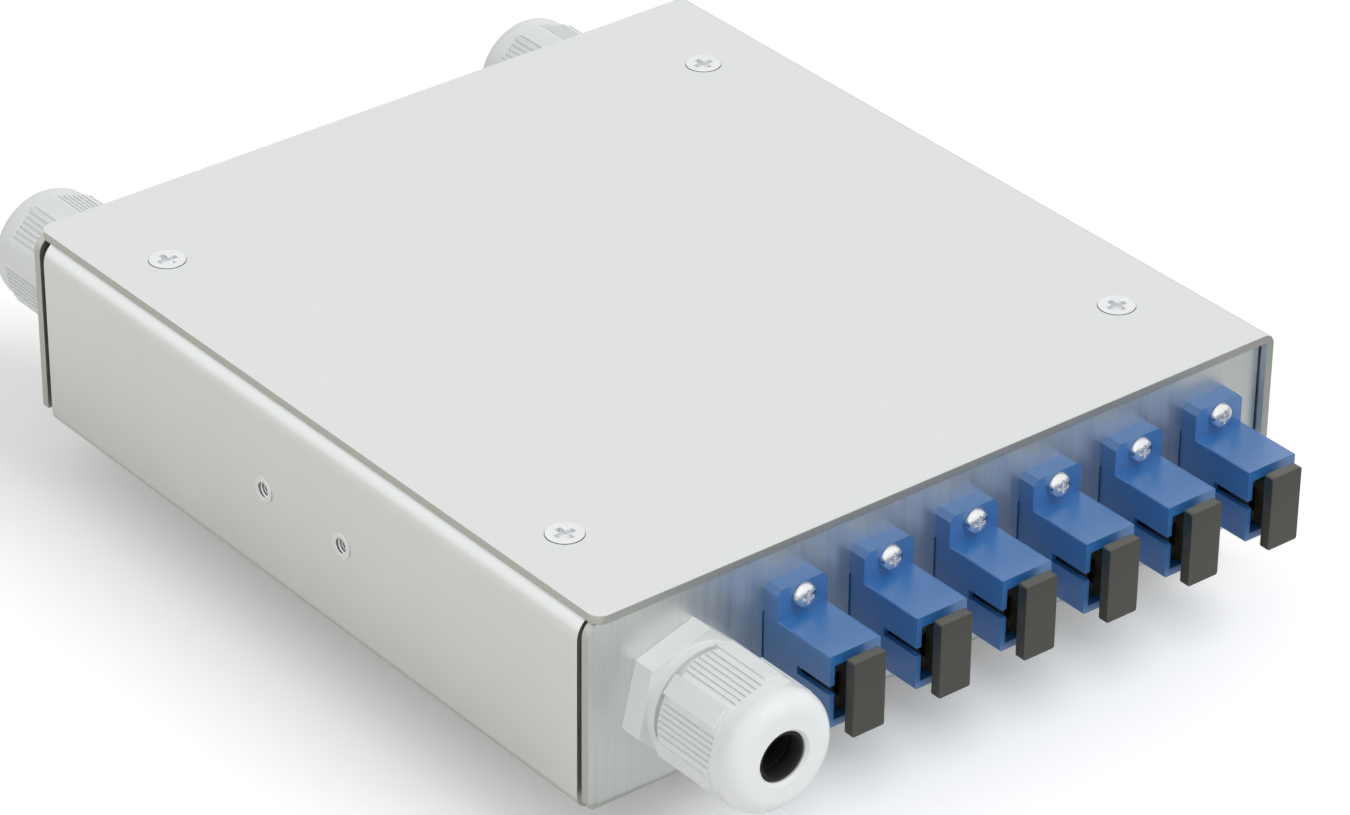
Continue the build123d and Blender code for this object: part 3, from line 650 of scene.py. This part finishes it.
class FIBREBOX_OT_adapters(bpy.types.Operator):
    """Dresses the couplers with their sleeves and latches"""

    bl_idname = "fibrebox.adapters"
    bl_label = "Couplers"

    def execute(self, context):
        metals = context.scene.fibre_box_metals
        plastics = context.scene.fibre_box_plastics
        blue = moulded("Coupler blue", plastics.adapter_colour, gloss=0.6, coat=1.0,
                       coat_ior=1.8, coat_roughness=0.34)
        for number in PORTS:
            dressed(f"adapter_housing_{number}", f"coupler_{number}", "case",
                    blue, plastics.mould_radius)
        repaint("adapter_latches", moulded("Latch white", plastics.plug_latch_colour))
        repaint("alignment_sleeves", drawn_metal("Sleeve bronze", metals.bronze_colour, 0.28))
        return {"FINISHED"}


class FIBREBOX_OT_dust_caps(bpy.types.Operator):
    """Dresses the dust caps in the couplers' outer and inner ports"""

    bl_idname = "fibrebox.dust_caps"
    bl_label = "Dust caps"

    def execute(self, context):
        plastics = context.scene.fibre_box_plastics
        grey = moulded("Dust cap grey", plastics.cap_colour, gloss=0.5, coat=0.85, coat_ior=1.6)
        crisp_edge = 0.6 * plastics.mould_radius
        for number in PORTS:
            dressed(f"dust_cap_{number}", f"cap_{number}", f"cap_{number}",
                    grey, crisp_edge)
        repaint("inner_caps", grey)
        return {"FINISHED"}


class FIBREBOX_OT_glands(bpy.types.Operator):
    """Dresses the cable glands: bodies, dome nuts, seals and locknuts"""

    bl_idname = "fibrebox.glands"
    bl_label = "Cable glands"

    def execute(self, context):
        plastics = context.scene.fibre_box_plastics
        grey = moulded("Gland grey", plastics.gland_colour, gloss=0.55, coat=0.4,
                       coat_roughness=0.07)
        rubber = moulded("Seal rubber", plastics.seal_colour, gloss=0.25)
        for name in GLANDS:
            dressed(f"gland_body_{name}", f"gland_{name}", "case", grey,
                    plastics.mould_radius)
            self.dome_nut(name, grey)
            self.seal_lip(name, rubber)
        repaint("gland_locknuts", grey)
        repaint("gland_seals", rubber)
        return {"FINISHED"}

    def dome_nut(self, name, finish):
        """Dresses a dome nut, chamfered at the end next to the case, with pads for the grip."""
        node = f"gland_nut_{name}"
        low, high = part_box(node)
        outward, inner_end = (-1, high.y) if name == "front" else (1, low.y)
        end_radius, slope, length, spare = 9.3 * MM, math.radians(30), 20 * MM, 0.05 * MM
        bpy.ops.mesh.primitive_cone_add(
            vertices=96, radius1=end_radius, radius2=end_radius + length * math.tan(slope),
            depth=length, rotation=(math.radians(-90 * outward), 0, 0),
            location=on_axis(low, high, inner_end + outward * (length / 2 - spare)),
        )
        cone = bpy.context.object
        nut = traced(node, f"dome_nut_{name}")
        nut.data.materials.append(finish)
        combine(nut, cone, "INTERSECT")
        combine(nut, self.grip_pads(low, high, inner_end, outward), "UNION")
        round_edges(nut, 0.09 * MM, sharper_than=14)
        stand_in(nut, node, f"nut_{name}")

    def grip_pads(self, low, high, inner_end, outward):
        """Makes the six raised pads between a dome nut's ribs as one object."""
        width, length, thick = 3.3 * MM, 11.2 * MM, 0.9 * MM
        reach, gap = 10.28 * MM, 0.3 * MM  # from the nut's axis, and from its inner end
        above_level, apart = 17, 60  # degrees, of the first pad and between neighbours
        middle = on_axis(low, high, inner_end + outward * (gap + length / 2))
        pads = []
        for side in range(6):
            bpy.ops.mesh.primitive_cube_add(size=1, location=(0, 0, reach - thick / 2))
            pad = bpy.context.object
            pad.scale = (width, length, thick)
            settle(pad)
            pad.rotation_euler.y = -outward * math.radians(90 - above_level - apart * side)
            pad.location = middle
            settle(pad)
            pads.append(pad)
        for pad in pads:
            pad.select_set(True)
        bpy.ops.object.join()
        return bpy.context.object

    def seal_lip(self, name, rubber):
        """Fills the dome nut's hole with the lip that the nut squeezes out of the seal."""
        radius, thickness, depth, drawn_out = 3.7 * MM, 0.38 * MM, 2.05 * MM, 4
        low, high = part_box(f"gland_nut_{name}")
        bpy.ops.mesh.primitive_torus_add(
            major_segments=72, minor_segments=20, major_radius=radius,
            minor_radius=thickness, rotation=(math.radians(90), 0, 0),
            location=on_axis(low, high, low.y + depth if name == "front" else high.y - depth),
        )
        lip = bpy.context.object
        lip.name = f"seal_lip_{name}"
        lip.scale.z = drawn_out
        settle(lip)
        bpy.ops.object.shade_smooth()
        lip.data.materials.append(rubber)
        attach(lip, "case")


class FIBREBOX_OT_inside(bpy.types.Operator):
    """Dresses the splice comb and the fibre clips inside the case"""

    bl_idname = "fibrebox.inside"
    bl_label = "Inner fittings"

    def execute(self, context):
        white = moulded("Moulded white", context.scene.fibre_box_plastics.inside_colour)
        repaint("splice_comb", white)
        repaint("fibre_clips", white)
        return {"FINISHED"}


class FIBREBOX_OT_rail_clip(bpy.types.Operator):
    """Dresses the rail clip with its latch and spring"""

    bl_idname = "fibrebox.rail_clip"
    bl_label = "Rail clip"

    def execute(self, context):
        metals = context.scene.fibre_box_metals
        plastics = context.scene.fibre_box_plastics
        black = moulded("Clip black", plastics.clip_colour, texture=0.02 * MM)
        grey = moulded("Latch grey", plastics.latch_colour, texture=0.02 * MM)
        dressed("rail_clip", "clip_block", "case", black, plastics.mould_radius)
        dressed("rail_latch", "clip_latch", "latch", grey, plastics.mould_radius)

        spring = traced("latch_spring", "coil_spring")
        spring.data.materials.append(drawn_metal("Spring steel", metals.spring_colour, 0.22))
        bpy.ops.object.shade_smooth_by_angle(angle=math.radians(40))
        stand_in(spring, "latch_spring", "case")
        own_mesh(spring)
        return {"FINISHED"}


class FIBREBOX_PT_panel(bpy.types.Panel):
    """Lists the sizes and colours of the box and the steps that dress it"""

    bl_label = "Fibre Box"
    bl_idname = "FIBREBOX_PT_panel"
    bl_space_type = "VIEW_3D"
    bl_region_type = "UI"
    bl_category = "Fibre Box"

    def draw(self, context):
        layout = self.layout
        for settings in SETTINGS:
            box = layout.box()
            group = getattr(context.scene, settings)
            for name in group.bl_rna.properties.keys():
                if name not in ("rna_type", "name"):
                    box.prop(group, name)
        for step in STEPS:
            layout.operator(step.bl_idname)


STEPS = (
    FIBREBOX_OT_stage,
    FIBREBOX_OT_case,
    FIBREBOX_OT_fasteners,
    FIBREBOX_OT_adapters,
    FIBREBOX_OT_dust_caps,
    FIBREBOX_OT_glands,
    FIBREBOX_OT_inside,
    FIBREBOX_OT_rail_clip,
)
SETTINGS = {
    "fibre_box_metals": FibreBoxMetals,
    "fibre_box_plastics": FibreBoxPlastics,
    "fibre_box_stage": FibreBoxStage,
}


def register():
    for name, group in SETTINGS.items():
        bpy.utils.register_class(group)
        setattr(bpy.types.Scene, name, PointerProperty(type=group))
    for step in STEPS:
        bpy.utils.register_class(step)
    bpy.utils.register_class(FIBREBOX_PT_panel)


def unregister():
    bpy.utils.unregister_class(FIBREBOX_PT_panel)
    for step in reversed(STEPS):
        bpy.utils.unregister_class(step)
    for name, group in SETTINGS.items():
        delattr(bpy.types.Scene, name)
        bpy.utils.unregister_class(group)


def main():
    register()
    bpy.ops.fibrebox.stage()
    bpy.ops.fibrebox.case()
    bpy.ops.fibrebox.fasteners()
    bpy.ops.fibrebox.adapters()
    bpy.ops.fibrebox.dust_caps()
    bpy.ops.fibrebox.glands()
    bpy.ops.fibrebox.inside()
    bpy.ops.fibrebox.rail_clip()


if __name__ == "__main__":
    main()
